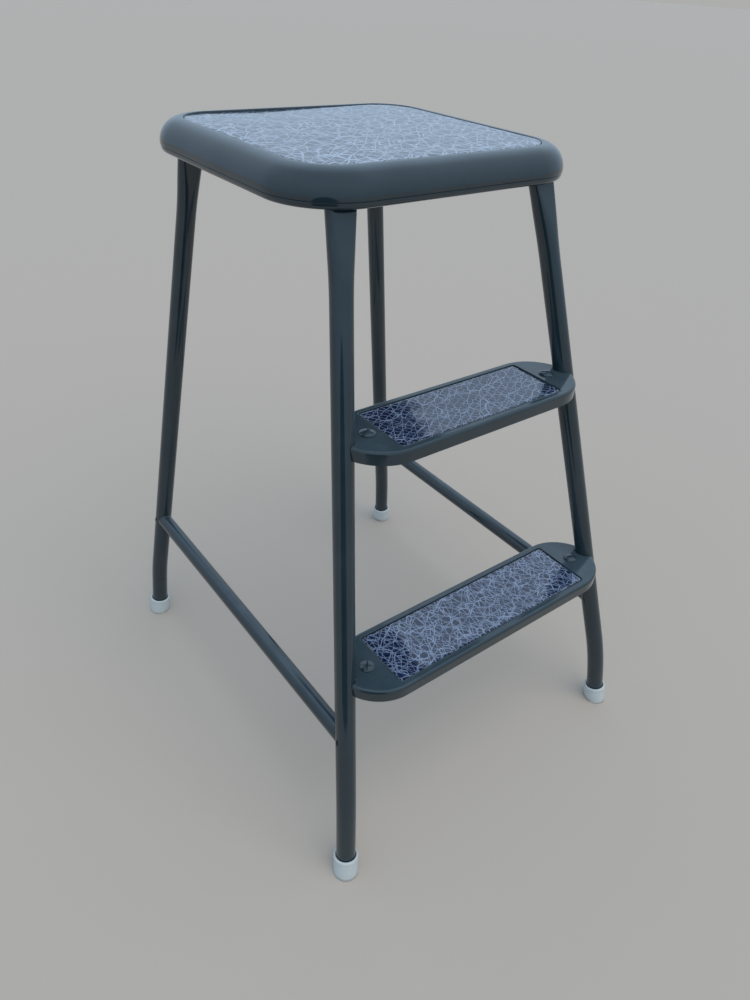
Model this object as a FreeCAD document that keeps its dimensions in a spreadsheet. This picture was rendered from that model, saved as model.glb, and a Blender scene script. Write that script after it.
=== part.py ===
import FreeCAD, Part
import math
import os
import re

import Sketcher

# A rigid step stool: a square pressed seat on four splayed tube legs, with two
# pressed steps between the front legs and a stretcher low down on each side.
# Millimetres. +X is the right side seen from the front, -Y is the front, where
# the steps are, and +Z is up. The origin is on the floor, midway between the feet.

SIZES = [
    # seat
    ("seat_height", 610, "floor to the top of the seat's rim"),
    ("seat_width", 299, "seat across, left to right"),
    ("seat_depth", 278.5, "seat from front to rear"),
    ("seat_setback", 59.75, "seat's middle behind the middle of the feet"),
    ("seat_corner_radius", 58, "seat's corner seen from above"),
    ("seat_rim_width", 22.5, "outer edge to the recess for the inset"),
    ("seat_crown_radius", 20.5, "round top of the rim"),
    ("seat_tuck_radius", 8, "round lower edge of the rim"),
    ("seat_tuck_angle", 45, "how far the lower edge turns under"),
    ("seat_recess", 3.5, "rim's top to the floor of the recess"),
    ("seat_sheet", 1.5, "sheet thickness of the seat pan"),
    ("seat_inset_thickness", 2, "patterned inset of the seat"),
    ("crest_radius", 1.2, "soft edge where a rim turns down into its recess"),
    ("inset_gap", 0.3, "gap all round an inset"),
    ("inset_chamfer", 0.4, "broken top edge of an inset"),
    # legs
    ("tube_diameter", 19, "leg tube outside"),
    ("tube_wall", 1.5, "leg tube wall"),
    ("foot_width", 380.6, "left foot to right foot, centres on the floor"),
    ("foot_depth", 442, "front foot to rear foot, centres on the floor"),
    ("foot_slope_share", 0.6, "slope below the knee as a share of the slope above"),
    ("knee_height", 72, "floor to the bend in the leg"),
    ("knee_radius", 150, "bend of the leg's axis"),
    ("leg_inset_side", 44.7, "seat's side to the axis of the leg's top"),
    ("leg_inset_front", 19.9, "seat's front to the axis of the front leg's top"),
    ("leg_inset_rear", 17.3, "seat's rear to the axis of the rear leg's top"),
    ("flare_length", 64, "top of the leg that is pressed flatter"),
    ("flare_width", 27.5, "leg's top, left to right"),
    ("flare_depth", 9, "leg's top, front to rear"),
    # bearers under the seat
    ("bearer_width", 24, "flat bar on each side under the seat"),
    ("bearer_thickness", 2.5, "thickness of the bar"),
    ("bearer_set_down", 11.5, "drop of the bar's ends onto the legs"),
    ("bearer_end", 9.5, "flat end past the leg's axis"),
    ("bearer_slope_run", 10, "length of the joggle"),
    # feet
    ("ferrule_height", 22, "ferrule along its own axis"),
    ("ferrule_base_diameter", 25.6, "ferrule at the floor"),
    ("ferrule_top_diameter", 24, "ferrule at its mouth"),
    ("ferrule_floor", 4, "rubber under the end of the tube"),
    ("ferrule_fit", 0.2, "gap between the tube and the ferrule's bore"),
    ("ferrule_edge", 1.5, "round of the ferrule's lower edge"),
    ("ferrule_lip", 1, "round of the ferrule's mouth"),
    # side stretchers
    ("stretcher_height", 152, "floor to the stretcher's axis"),
    ("stretcher_diameter", 16.5, "stretcher tube outside"),
    ("stretcher_wall", 1.2, "stretcher tube wall"),
    ("weld_gap", 0.3, "gap between a shaped end and the tube that it meets"),
    ("plug_length", 22, "threaded plug in the stretcher's rear end"),
    ("plug_fit", 0.15, "gap between the plug and the stretcher's bore"),
    ("plug_set_back", 2, "plug's end behind the surface of the rear leg"),
    # stretcher bolts
    ("bolt_diameter", 6, "bolt through the rear leg into the plug"),
    ("bolt_clearance", 0.25, "gap between the bolt and the holes in the leg"),
    ("bolt_head_diameter", 12, "domed head on the rear of the leg"),
    ("bolt_head_height", 3.2, "dome above the tube's surface"),
    ("thread_gap", 0.1, "gap that stands for a thread"),
    # steps
    ("upper_step_height", 417, "floor to the top of the upper step"),
    ("lower_step_height", 212.5, "floor to the top of the lower step"),
    ("upper_recess_from_leg", 37, "leg's axis to the end of the upper step's recess"),
    ("lower_recess_from_leg", 39.3, "leg's axis to the end of the lower step's recess"),
    ("step_depth", 77, "step from front to rear"),
    ("step_past_leg", 2, "end of the step past the leg's axis"),
    ("step_end_reach", 44, "end of the step past its straight edges"),
    ("step_nose_radius", 32, "tip of the step's end seen from above"),
    ("step_skirt", 12, "height of the step's turned-down edge"),
    ("step_sheet", 1.5, "sheet thickness of a step"),
    ("step_edge_radius", 3, "round top edge of a step"),
    ("step_recess", 2.5, "step's top to the floor of its recess"),
    ("step_recess_depth", 62.4, "recess from front to rear"),
    ("step_recess_corner", 3, "recess corner seen from above"),
    ("step_inset_thickness", 1.5, "patterned inset of a step"),
    ("step_notch_gap", 0.4, "gap between the step's notch and the leg"),
    # lugs, screws and nuts that carry the steps
    ("lug_width", 20, "lug on the front leg under the end of a step"),
    ("lug_thickness", 3, "thickness of the lug"),
    ("lug_past_screw", 9, "lug past the screw's axis"),
    ("screw_from_leg", 24.3, "leg's axis to the step screw's axis"),
    ("screw_diameter", 6, "step screw's shank"),
    ("screw_length", 11, "shank under the head"),
    ("screw_clearance", 0.25, "gap between the screw and its holes"),
    ("screw_head_diameter", 14, "domed head of the step screw"),
    ("screw_head_height", 3, "height of the domed head"),
    ("screw_head_rim", 0.8, "straight edge of the head below the dome"),
    ("slot_width", 1.6, "screwdriver slot"),
    ("slot_depth", 1.5, "depth of the slot"),
    ("nut_width", 10, "nut across its flats"),
    ("nut_thickness", 5, "nut along the screw"),
]

doc = FreeCAD.newDocument("StepStool")
sheet = doc.addObject("Spreadsheet::Sheet", "Sizes")
for row, (alias, number, meaning) in enumerate(SIZES, start=1):
    sheet.set(f"A{row}", meaning)
    sheet.set(f"B{row}", str(number))
    sheet.setAlias(f"B{row}", alias)
doc.recompute()

SIZE_WORD = re.compile(r"\b(" + "|".join(alias for alias, _, _ in SIZES) + r")\b")

# Places worked out from the sizes. The leg's axis is one straight line above its knee.
SEAT_FLOOR = "(seat_height - seat_recess - seat_sheet)"
LEG_TOP = f"({SEAT_FLOOR} - bearer_set_down - bearer_thickness)"
TOP_ACROSS = "(seat_width / 2 - leg_inset_side)"
TOP_FRONT = "(seat_setback - seat_depth / 2 + leg_inset_front)"
TOP_REAR = "(seat_setback + seat_depth / 2 - leg_inset_rear)"
FULL_SLOPE_RISE = f"({LEG_TOP} - knee_height * (1 - foot_slope_share))"
SPLAY = f"((foot_width / 2 - {TOP_ACROSS}) / {FULL_SLOPE_RISE})"
FRONT_RAKE = f"((foot_depth / 2 + {TOP_FRONT}) / {FULL_SLOPE_RISE})"
REAR_RAKE = f"((foot_depth / 2 - {TOP_REAR}) / {FULL_SLOPE_RISE})"
RECESS_WIDTH = "(seat_width - 2 * seat_rim_width)"
RECESS_DEPTH = "(seat_depth - 2 * seat_rim_width)"
RECESS_CORNER = "(seat_corner_radius - seat_rim_width)"
STEP_HEIGHTS = {"upper": "upper_step_height", "lower": "lower_step_height"}
SIDES = {"left": -1, "right": 1}


def cells(text):
    """The expression with every size written as a cell of the sheet."""
    return SIZE_WORD.sub(r"Sizes.\1", text)


def value(text):
    """The number that an expression over the sizes gives."""
    result = sheet.evalExpression(cells(text))
    return float(getattr(result, "Value", result))


def bind(feature, prop, text):
    """Ties a property of a feature to an expression over the sizes."""
    feature.setExpression(prop, cells(text))


def vector(across, deep, up):
    return f"vector({across}; {deep}; {up})"


def turn(axis, angle):
    return f"rotation({axis}; {angle})"


def place(position, rotation="rotation(vector(0; 0; 1); 0)"):
    return f"placement({position}; {rotation})"


# Sketches and the features made from them


def new_body(name):
    body = doc.addObject("PartDesign::Body", name)
    body.Label = name
    return body


def new_sketch(body, name, plane, offset=None):
    """A sketch on one of the body's own planes, moved by an offset if one is given."""
    support = next(part for part in body.Origin.OriginFeatures if part.Role == plane)
    sketch = body.newObject("Sketcher::SketchObject", f"{body.Name}_{name}")
    sketch.AttachmentSupport = [(support, "")]
    sketch.MapMode = "FlatFace"
    if offset:
        bind(sketch, "AttachmentOffset", offset)
    return sketch


def constrain(sketch, kind, where, text):
    """Adds one measured constraint and ties it to its expression."""
    index = sketch.addConstraint(Sketcher.Constraint(kind, *where, value(text)))
    sketch.setExpression(f"Constraints[{index}]", cells(text))


def draw_circle(sketch, diameter, across="0", up="0"):
    centre = FreeCAD.Vector(value(across), value(up), 0)
    circle = Part.Circle(centre, FreeCAD.Vector(0, 0, 1), value(diameter) / 2)
    index = sketch.addGeometry(circle)
    constrain(sketch, "DistanceX", (index, 3), across)
    constrain(sketch, "DistanceY", (index, 3), up)
    constrain(sketch, "Diameter", (index,), diameter)


def draw_ellipse(sketch, width, depth):
    """An ellipse round the sketch's origin with its long axis along the sketch's own X."""
    centre = FreeCAD.Vector(0, 0, 0)
    ellipse = sketch.addGeometry(Part.Ellipse(centre, value(width) / 2, value(depth) / 2))
    sketch.exposeInternalGeometry(ellipse)
    long_axis, short_axis = ellipse + 1, ellipse + 2
    constrain(sketch, "DistanceX", (ellipse, 3), "0")
    constrain(sketch, "DistanceY", (ellipse, 3), "0")
    sketch.addConstraint(Sketcher.Constraint("Horizontal", long_axis))
    constrain(sketch, "Distance", (long_axis,), width)
    constrain(sketch, "Distance", (short_axis,), depth)


def draw_outline(sketch, corners, closed=True):
    """Joins the corners in order. A corner is (across, up), and where the edge that
    leaves it is an arc, (across, up, centre across, centre up, turn), with a turn of
    1 for anticlockwise and -1 for clockwise."""
    spots = [FreeCAD.Vector(value(corner[0]), value(corner[1]), 0) for corner in corners]
    count = len(corners) if closed else len(corners) - 1
    ends = []
    for number in range(count):
        start, finish = spots[number], spots[(number + 1) % len(spots)]
        corner = corners[number]
        if len(corner) == 2:
            index = sketch.addGeometry(Part.LineSegment(start, finish))
            ends.append((index, 1, 2))
            continue
        centre = FreeCAD.Vector(value(corner[2]), value(corner[3]), 0)
        from_angle, to_angle = (
            math.atan2(spot.y - centre.y, spot.x - centre.x) for spot in (start, finish)
        )
        anticlockwise = corner[4] > 0
        if not anticlockwise:
            from_angle, to_angle = to_angle, from_angle
        circle = Part.Circle(centre, FreeCAD.Vector(0, 0, 1), (start - centre).Length)
        index = sketch.addGeometry(Part.ArcOfCircle(circle, from_angle, to_angle))
        ends.append((index, 1, 2) if anticlockwise else (index, 2, 1))
    for number, (index, start, finish) in enumerate(ends):
        if closed or number + 1 < count:
            following = ends[(number + 1) % count]
            joint = (index, finish, following[0], following[1])
            sketch.addConstraint(Sketcher.Constraint("Coincident", *joint))
        constrain(sketch, "DistanceX", (index, start), corners[number][0])
        constrain(sketch, "DistanceY", (index, start), corners[number][1])
        if len(corners[number]) > 2:
            chord = spots[(number + 1) % len(spots)] - spots[number]
            steep = abs(chord.y) > abs(chord.x)
            constrain(sketch, "DistanceX" if steep else "DistanceY", (index, 3),
                      corners[number][2 if steep else 3])
    if not closed:
        index, _, finish = ends[-1]
        constrain(sketch, "DistanceX", (index, finish), corners[-1][0])
        constrain(sketch, "DistanceY", (index, finish), corners[-1][1])


def draw_rounded_rectangle(sketch, width, depth, radius):
    """A rectangle with round corners about the sketch's origin."""
    right, top = f"({width} / 2)", f"({depth} / 2)"
    inner_right, inner_top = f"({right} - {radius})", f"({top} - {radius})"
    draw_outline(sketch, [
        (f"-{inner_right}", f"-{top}"),
        (inner_right, f"-{top}", inner_right, f"-{inner_top}", 1),
        (right, f"-{inner_top}"),
        (right, inner_top, inner_right, inner_top, 1),
        (inner_right, top),
        (f"-{inner_right}", top, f"-{inner_right}", inner_top, 1),
        (f"-{right}", inner_top),
        (f"-{right}", f"-{inner_top}", f"-{inner_right}", f"-{inner_top}", 1),
    ])


def add_feature(body, kind, name, sketch, length=None, **settings):
    """A PartDesign feature from a sketch, with its length tied to the sizes."""
    feature = body.newObject(f"PartDesign::{kind}", f"{body.Name}_{name}")
    feature.Profile = sketch
    for prop, setting in settings.items():
        setattr(feature, prop, setting)
    if length:
        bind(feature, "Length", length)
    doc.recompute()
    return feature


def round_edges(body, name, kind, size, chosen):
    """Fillets or chamfers the edges of the body's tip that a test picks."""
    base = body.Tip
    edges = [f"Edge{n}" for n, edge in enumerate(base.Shape.Edges, start=1) if chosen(edge)]
    feature = body.newObject(f"PartDesign::{kind}", f"{body.Name}_{name}")
    feature.Base = (base, edges)
    bind(feature, "Radius" if kind == "Fillet" else "Size", size)
    doc.recompute()
    return feature


def lies_at(height, near=1e-4):
    """A test for edges that lie flat at a height of the body's own frame."""
    def test(edge):
        box = edge.BoundBox
        return abs(box.ZMin - height) < near and abs(box.ZMax - height) < near
    return test


def new_cylinder(name, diameter, length, placement):
    cylinder = doc.addObject("Part::Cylinder", name)
    bind(cylinder, "Radius", f"({diameter}) / 2")
    bind(cylinder, "Height", length)
    bind(cylinder, "Placement", placement)
    return cylinder


def combine(kind, name, base, *tools):
    """A Part boolean: the base cut by the tools, or fused with them."""
    if kind == "Fuse":
        result = doc.addObject("Part::MultiFuse", name)
        result.Shapes = [base, *tools]
    else:
        tool = tools[0]
        if len(tools) > 1:
            tool = doc.addObject("Part::MultiFuse", f"{name}_tools")
            tool.Shapes = list(tools)
        result = doc.addObject(f"Part::{kind}", name)
        result.Base = base
        result.Tool = tool
    result.Label = name
    return result


# Legs


class Leg:
    """Where one leg stands and how it leans, as expressions over the sizes."""

    def __init__(self, end, side):
        self.end, self.side = end, side
        self.name = f"leg_{end}_{side}"
        sign = SIDES[side]
        self.sign = sign
        self.top_x = f"({sign} * {TOP_ACROSS})"
        self.top_y = TOP_FRONT if end == "front" else TOP_REAR
        self.foot_x = f"({sign} * foot_width / 2)"
        self.foot_y = "(-foot_depth / 2)" if end == "front" else "(foot_depth / 2)"
        self.lean_x = f"({-sign} * {SPLAY})"
        self.lean_y = FRONT_RAKE if end == "front" else f"(-{REAR_RAKE})"
        self.slope = f"hypot({self.lean_x}; {self.lean_y})"
        self.foot_slope = f"(foot_slope_share * {self.slope})"
        self.heading = f"atan2({self.lean_y}; {self.lean_x})"
        self.placement = place(
            vector(self.foot_x, self.foot_y, "0"),
            turn("vector(0; 0; 1)", self.heading),
        )

    def x_at(self, height):
        """Across position of the straight part's axis at a height."""
        return f"({self.top_x} - {self.lean_x} * ({LEG_TOP} - {height}))"

    def y_at(self, height):
        """Front to rear position of the straight part's axis at a height."""
        return f"({self.top_y} - {self.lean_y} * ({LEG_TOP} - {height}))"

    def rod(self, name, diameter, low, high):
        """A straight rod along the leg's axis between two heights."""
        placement = place(
            vector(self.x_at(low), self.y_at(low), low),
            turn(vector(f"-({self.lean_y})", self.lean_x, "0"), f"atan({self.slope})"),
        )
        length = f"({high} - {low}) * hypot(1; {self.slope})"
        return new_cylinder(name, diameter, length, placement)

    def build(self):
        """The tube along its bent axis, then the flattened top, both hollow."""
        body = new_body(self.name)
        low_angle, high_angle = f"atan({self.foot_slope})", f"atan({self.slope})"
        knee_x = f"({self.foot_slope} * knee_height)"
        reach = f"(knee_radius * tan(({high_angle} - {low_angle}) / 2))"
        bend_start = (f"({knee_x} - {reach} * sin({low_angle}))",
                      f"(knee_height - {reach} * cos({low_angle}))")
        bend_end = (f"({knee_x} + {reach} * sin({high_angle}))",
                    f"(knee_height + {reach} * cos({high_angle}))")
        centre = (f"({bend_start[0]} + knee_radius * cos({low_angle}))",
                  f"({bend_start[1]} - knee_radius * sin({low_angle}))")
        flare_z = f"({LEG_TOP} - flare_length)"
        flare_x = f"({knee_x} + {self.slope} * ({flare_z} - knee_height))"
        top_x = f"({knee_x} + {self.slope} * ({LEG_TOP} - knee_height))"
        low_end = (f"(ferrule_floor * sin({low_angle}))", f"(ferrule_floor * cos({low_angle}))")

        path = new_sketch(body, "axis", "XZ_Plane")
        draw_outline(path, [
            low_end,
            (*bend_start, *centre, -1),
            bend_end,
            (flare_x, flare_z),
        ], closed=False)

        across_seat = turn("vector(0; 0; 1)", f"-({self.heading})")
        section = new_sketch(body, "section", "XY_Plane", place(
            vector(low_end[0], "0", low_end[1]),
            f"{turn('vector(0; 1; 0)', low_angle)} * {across_seat}",
        ))
        neck = new_sketch(body, "neck", "XY_Plane", place(
            vector(flare_x, "0", flare_z),
            f"{turn('vector(0; 1; 0)', high_angle)} * {across_seat}",
        ))
        for sketch in (section, neck):
            draw_circle(sketch, "tube_diameter")
            draw_circle(sketch, "tube_diameter - 2 * tube_wall")
        mouth = new_sketch(body, "mouth", "XY_Plane", place(vector(top_x, "0", LEG_TOP), across_seat))
        draw_ellipse(mouth, "flare_width", "flare_depth")
        draw_ellipse(mouth, "flare_width - 2 * tube_wall", "flare_depth - 2 * tube_wall")
        doc.recompute()

        add_feature(body, "AdditivePipe", "tube", section, Spine=(path, [""]))
        add_feature(body, "AdditiveLoft", "flare", neck, Sections=[(mouth, [""])])
        bind(body, "Placement", self.placement)
        if self.end == "front":
            return body
        hole = new_cylinder(
            f"{self.name}_bolt_hole", "bolt_diameter + 2 * bolt_clearance", "2 * tube_diameter",
            place(
                vector(self.x_at("stretcher_height"),
                       f"({self.y_at('stretcher_height')} + tube_diameter)", "stretcher_height"),
                turn("vector(1; 0; 0)", "90"),
            ),
        )
        body.Label = f"{self.name}_blank"
        leg = combine("Cut", f"{self.name}_drilled", body, hole)
        leg.Label = self.name
        return leg


def build_ferrule(leg):
    """A ferrule in line with the foot of its leg, cut flat where it stands on the floor."""
    body = new_body(leg.name.replace("leg", "ferrule"))
    below = "2 * ferrule_floor"
    lean = turn("vector(0; 0; 1)", f"-atan({leg.foot_slope})")
    profile = new_sketch(body, "profile", "XZ_Plane", place("vector(0; 0; 0)", lean))
    bore = "(tube_diameter / 2 + ferrule_fit)"
    base, mouth = "(ferrule_base_diameter / 2)", "(ferrule_top_diameter / 2)"
    taper = f"(({base} - {mouth}) / ferrule_height)"
    draw_outline(profile, [
        ("0", f"-{below}"),
        (f"({base} + {taper} * {below})", f"-{below}"),
        (mouth, "ferrule_height"),
        (bore, "ferrule_height"),
        (bore, "ferrule_floor"),
        ("0", "ferrule_floor"),
    ])
    doc.recompute()
    add_feature(body, "Revolution", "turned", profile, ReferenceAxis=(profile, ["V_Axis"]), Angle=360)
    floor = new_sketch(body, "floor", "XY_Plane")
    draw_circle(floor, "4 * ferrule_base_diameter")
    doc.recompute()
    add_feature(body, "Pocket", "sole", floor, "4 * ferrule_floor")
    round_edges(body, "edge", "Fillet", "ferrule_edge", lies_at(0))
    height = value("ferrule_height") * math.cos(math.atan(value(leg.foot_slope)))
    outer = value(mouth)

    def at_mouth(edge):
        circle = edge.Curve
        return isinstance(circle, Part.Circle) and abs(circle.Radius - outer) < 1e-4 \
            and abs(circle.Center.z - height) < 1e-3
    round_edges(body, "lip", "Fillet", "ferrule_lip", at_mouth)
    bind(body, "Placement", leg.placement)
    return body


# Seat


def build_seat_pan():
    """The rim's sheet carried round the recess, with the recess's floor inside it."""
    body = new_body("seat_pan")
    ring = new_sketch(body, "ring", "XY_Plane")
    draw_rounded_rectangle(ring, RECESS_WIDTH, RECESS_DEPTH, RECESS_CORNER)
    section = new_sketch(body, "section", "YZ_Plane", place(vector(f"(-{RECESS_DEPTH} / 2)", "0", "0")))
    crown = "(seat_crown_radius - seat_rim_width)"
    tuck = "(seat_tuck_radius - seat_rim_width)"
    inner_tuck = "(seat_tuck_radius - seat_sheet)"
    floor = "(seat_recess + seat_sheet)"
    draw_outline(section, [
        ("0", "-crest_radius"),
        ("0", f"-{floor}"),
        ("-seat_sheet", f"-{floor}"),
        ("-seat_sheet", "-seat_sheet"),
        (crown, "-seat_sheet", crown, "-seat_crown_radius", 1),
        ("seat_sheet - seat_rim_width", "-seat_crown_radius", tuck, "-seat_crown_radius", 1),
        (f"({tuck} - {inner_tuck} * cos(seat_tuck_angle))",
         f"(-seat_crown_radius - {inner_tuck} * sin(seat_tuck_angle))"),
        (f"({tuck} - seat_tuck_radius * cos(seat_tuck_angle))",
         "(-seat_crown_radius - seat_tuck_radius * sin(seat_tuck_angle))",
         tuck, "-seat_crown_radius", -1),
        ("-seat_rim_width", "-seat_crown_radius", crown, "-seat_crown_radius", -1),
        (crown, "0"),
        ("-crest_radius", "0", "-crest_radius", "-crest_radius", -1),
    ])
    floor_sketch = new_sketch(body, "floor", "XY_Plane", place(vector("0", "0", "-seat_recess")))
    draw_rounded_rectangle(floor_sketch, RECESS_WIDTH, RECESS_DEPTH, RECESS_CORNER)
    doc.recompute()
    add_feature(body, "AdditivePipe", "rim", section, Spine=(ring, [""]))
    add_feature(body, "Pad", "recess_floor", floor_sketch, "seat_sheet", Reversed=True)
    bind(body, "Placement", place(vector("0", "seat_setback", "seat_height")))
    return body


def build_inset(name, width, depth, corner, thickness, floor_height, setback):
    """A flat patterned inset lying on the floor of its recess."""
    body = new_body(name)
    sketch = new_sketch(body, "outline", "XY_Plane")
    fitted = [f"({size} - 2 * inset_gap)" for size in (width, depth)]
    draw_rounded_rectangle(sketch, *fitted, f"({corner} - inset_gap)")
    doc.recompute()
    add_feature(body, "Pad", "sheet", sketch, thickness)
    round_edges(body, "edge", "Chamfer", "inset_chamfer", lies_at(value(thickness)))
    bind(body, "Placement", place(vector("0", setback, floor_height)))
    return body


def build_bearer(side):
    """A flat bar from the front leg to the rear leg, set down at both ends onto their tops."""
    body = new_body(f"seat_bearer_{side}")
    profile = new_sketch(body, "profile", "YZ_Plane", place(vector("0", "0", "-bearer_width / 2")))
    front, rear = f"({TOP_FRONT} - bearer_end)", f"({TOP_REAR} + bearer_end)"
    low_front, low_rear = f"({TOP_FRONT} + bearer_end)", f"({TOP_REAR} - bearer_end)"
    high_front, high_rear = f"({low_front} + bearer_slope_run)", f"({low_rear} - bearer_slope_run)"
    low, high = f"({LEG_TOP} + bearer_thickness)", SEAT_FLOOR
    shift = "bearer_thickness * tan(atan(bearer_set_down / bearer_slope_run) / 2)"
    draw_outline(profile, [
        (front, LEG_TOP),
        (f"({low_front} + {shift})", LEG_TOP),
        (f"({high_front} + {shift})", f"({high} - bearer_thickness)"),
        (f"({high_rear} - {shift})", f"({high} - bearer_thickness)"),
        (f"({low_rear} - {shift})", LEG_TOP),
        (rear, LEG_TOP),
        (rear, low),
        (low_rear, low),
        (high_rear, high),
        (high_front, high),
        (low_front, low),
        (front, low),
    ])
    doc.recompute()
    add_feature(body, "Pad", "bar", profile, "bearer_width")
    bind(body, "Placement", place(vector(f"{SIDES[side]} * {TOP_ACROSS}", "0", "0")))
    return body


# Steps


def draw_step_plan(sketch, half):
    """A step seen from above: two straight edges joined by ends of three arcs each."""
    side, nose = "(step_depth / 2)", "step_nose_radius"
    past_nose = f"(step_end_reach - {nose})"
    shoulder = f"(({side} ^ 2 + {past_nose} ^ 2 - {nose} ^ 2) / (2 * ({side} - {nose})))"
    offset, spread = f"({shoulder} - {side})", f"({shoulder} - {nose})"
    flat, nose_x = f"({half} - step_end_reach)", f"({half} - {nose})"
    meet_x = f"({nose_x} + {nose} * {past_nose} / {spread})"
    meet_y = f"({nose} * {offset} / {spread})"
    draw_outline(sketch, [
        (f"-{flat}", f"-{side}"),
        (flat, f"-{side}", flat, offset, 1),
        (meet_x, f"-{meet_y}", nose_x, "0", 1),
        (meet_x, meet_y, flat, f"-{offset}", 1),
        (flat, side),
        (f"-{flat}", side, f"-{flat}", f"-{offset}", 1),
        (f"-{meet_x}", meet_y, f"-{nose_x}", "0", 1),
        (f"-{meet_x}", f"-{meet_y}", f"-{flat}", offset, 1),
    ])


def build_step(level, legs):
    """A pressed pan with round ends, a recess for its inset and a notch round each leg."""
    height = STEP_HEIGHTS[level]
    right = legs["front", "right"]
    half = f"({right.x_at(height)} + step_past_leg)"
    recess_width = f"(2 * ({right.x_at(height)} - {level}_recess_from_leg))"
    body = new_body(f"{level}_step")
    plan = new_sketch(body, "plan", "XY_Plane")
    draw_step_plan(plan, half)
    doc.recompute()
    add_feature(body, "Pad", "block", plan, "step_skirt", Reversed=True)
    round_edges(body, "edge", "Fillet", "step_edge_radius", lies_at(0))
    recess = new_sketch(body, "recess", "XY_Plane")
    draw_rounded_rectangle(recess, recess_width, "step_recess_depth", "step_recess_corner")
    doc.recompute()
    add_feature(body, "Pocket", "recess_cut", recess, "step_recess")
    tip = body.Tip
    under = [f"Face{n}" for n, face in enumerate(tip.Shape.Faces, start=1)
             if abs(face.CenterOfMass.z + value("step_skirt")) < 1e-4]
    shell = body.newObject("PartDesign::Thickness", f"{body.Name}_shell")
    shell.Base = (tip, under)
    shell.Reversed = True
    bind(shell, "Value", "step_sheet")
    doc.recompute()
    at_top = lies_at(0)
    recess_side = value("step_recess_depth") / 2 + 1e-4

    def round_recess(edge):
        return at_top(edge) and edge.BoundBox.YMax < recess_side and edge.BoundBox.YMin > -recess_side
    round_edges(body, "crest", "Fillet", "crest_radius", round_recess)
    holes = new_sketch(body, "holes", "XY_Plane")
    for sign in SIDES.values():
        spot = f"({sign} * ({right.x_at(height)} - screw_from_leg))"
        draw_circle(holes, "screw_diameter + 2 * screw_clearance", spot)
    doc.recompute()
    add_feature(body, "Pocket", "screw_holes", holes, "step_skirt")
    bind(body, "Placement", place(vector("0", right.y_at(height), height)))
    body.Label = f"{level}_step_blank"
    notches = [
        legs["front", side].rod(f"{level}_notch_{side}", "tube_diameter + 2 * step_notch_gap",
                                f"({height} - 2 * step_skirt)", f"({height} + 2 * step_skirt)")
        for side in SIDES
    ]
    step = combine("Cut", f"{level}_step_notched", body, *notches)
    step.Label = f"{level}_step"
    return step


def build_step_inset(level, legs):
    height = STEP_HEIGHTS[level]
    right = legs["front", "right"]
    width = f"(2 * ({right.x_at(height)} - {level}_recess_from_leg))"
    return build_inset(f"{level}_step_inset", width, "step_recess_depth", "step_recess_corner",
                       "step_inset_thickness", f"({height} - step_recess)", right.y_at(height))


def build_lug(level, leg):
    """A plate from the front leg under the end of a step, drilled for the step's screw."""
    height = STEP_HEIGHTS[level]
    name = f"{level}_step_lug_{leg.side}"
    body = new_body(f"{name}_blank")
    plan = new_sketch(body, "plan", "XY_Plane")
    tip, wide = f"(screw_from_leg + lug_past_screw - lug_width / 2)", "(lug_width / 2)"
    draw_outline(plan, [
        ("0", f"-{wide}"),
        (tip, f"-{wide}", tip, "0", 1),
        (tip, wide),
        ("0", wide),
    ])
    draw_circle(plan, "screw_diameter + 2 * screw_clearance", "screw_from_leg")
    doc.recompute()
    add_feature(body, "Pad", "plate", plan, "lug_thickness", Reversed=True)
    inward = turn("vector(0; 0; 1)", "180" if leg.sign > 0 else "0")
    bind(body, "Placement", place(
        vector(leg.x_at(height), leg.y_at(height), f"({height} - step_sheet)"), inward))
    cut = leg.rod(f"{name}_cope", "tube_diameter + 2 * weld_gap",
                  f"({height} - 2 * step_skirt)", f"({height} + step_skirt)")
    lug = combine("Cut", f"{name}_coped", body, cut)
    lug.Label = name
    return lug


def build_step_screw(level, leg):
    """A screw with a domed and slotted head, standing on the step's top."""
    height = STEP_HEIGHTS[level]
    body = new_body(f"{level}_step_screw_{leg.side}")
    profile = new_sketch(body, "profile", "XZ_Plane")
    rim, dome = "(screw_head_diameter / 2)", "(screw_head_height - screw_head_rim)"
    radius = f"(({rim} ^ 2 + {dome} ^ 2) / (2 * {dome}))"
    draw_outline(profile, [
        ("0", "-screw_length"),
        ("screw_diameter / 2", "-screw_length"),
        ("screw_diameter / 2", "0"),
        (rim, "0"),
        (rim, "screw_head_rim", "0", f"(screw_head_height - {radius})", 1),
        ("0", "screw_head_height"),
    ])
    doc.recompute()
    add_feature(body, "Revolution", "turned", profile, ReferenceAxis=(profile, ["V_Axis"]), Angle=360)
    slot = new_sketch(body, "slot", "XY_Plane", place(vector("0", "0", "screw_head_height")))
    draw_rounded_rectangle(slot, "(screw_head_diameter + 2 * slot_width)", "slot_width", "(slot_width / 4)")
    doc.recompute()
    add_feature(body, "Pocket", "slot_cut", slot, "slot_depth")
    spot = vector(f"({leg.x_at(height)} - {leg.sign} * screw_from_leg)", leg.y_at(height), height)
    bind(body, "Placement", place(spot, turn("vector(0; 0; 1)", SLOT_TURNS[level, leg.side])))
    return body


def build_step_nut(level, leg):
    """A hexagon nut against the underside of the lug."""
    height = STEP_HEIGHTS[level]
    body = new_body(f"{level}_step_nut_{leg.side}")
    plan = new_sketch(body, "plan", "XY_Plane")
    corner = "(nut_width / 2 / cos(30))"
    draw_outline(plan, [
        (f"({corner} * cos({60 * n}))", f"({corner} * sin({60 * n}))") for n in range(6)
    ])
    draw_circle(plan, "screw_diameter + 2 * thread_gap")
    doc.recompute()
    add_feature(body, "Pad", "hexagon", plan, "nut_thickness", Reversed=True)
    bind(body, "Placement", place(vector(
        f"({leg.x_at(height)} - {leg.sign} * screw_from_leg)", leg.y_at(height),
        f"({height} - step_sheet - lug_thickness)")))
    return body


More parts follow.
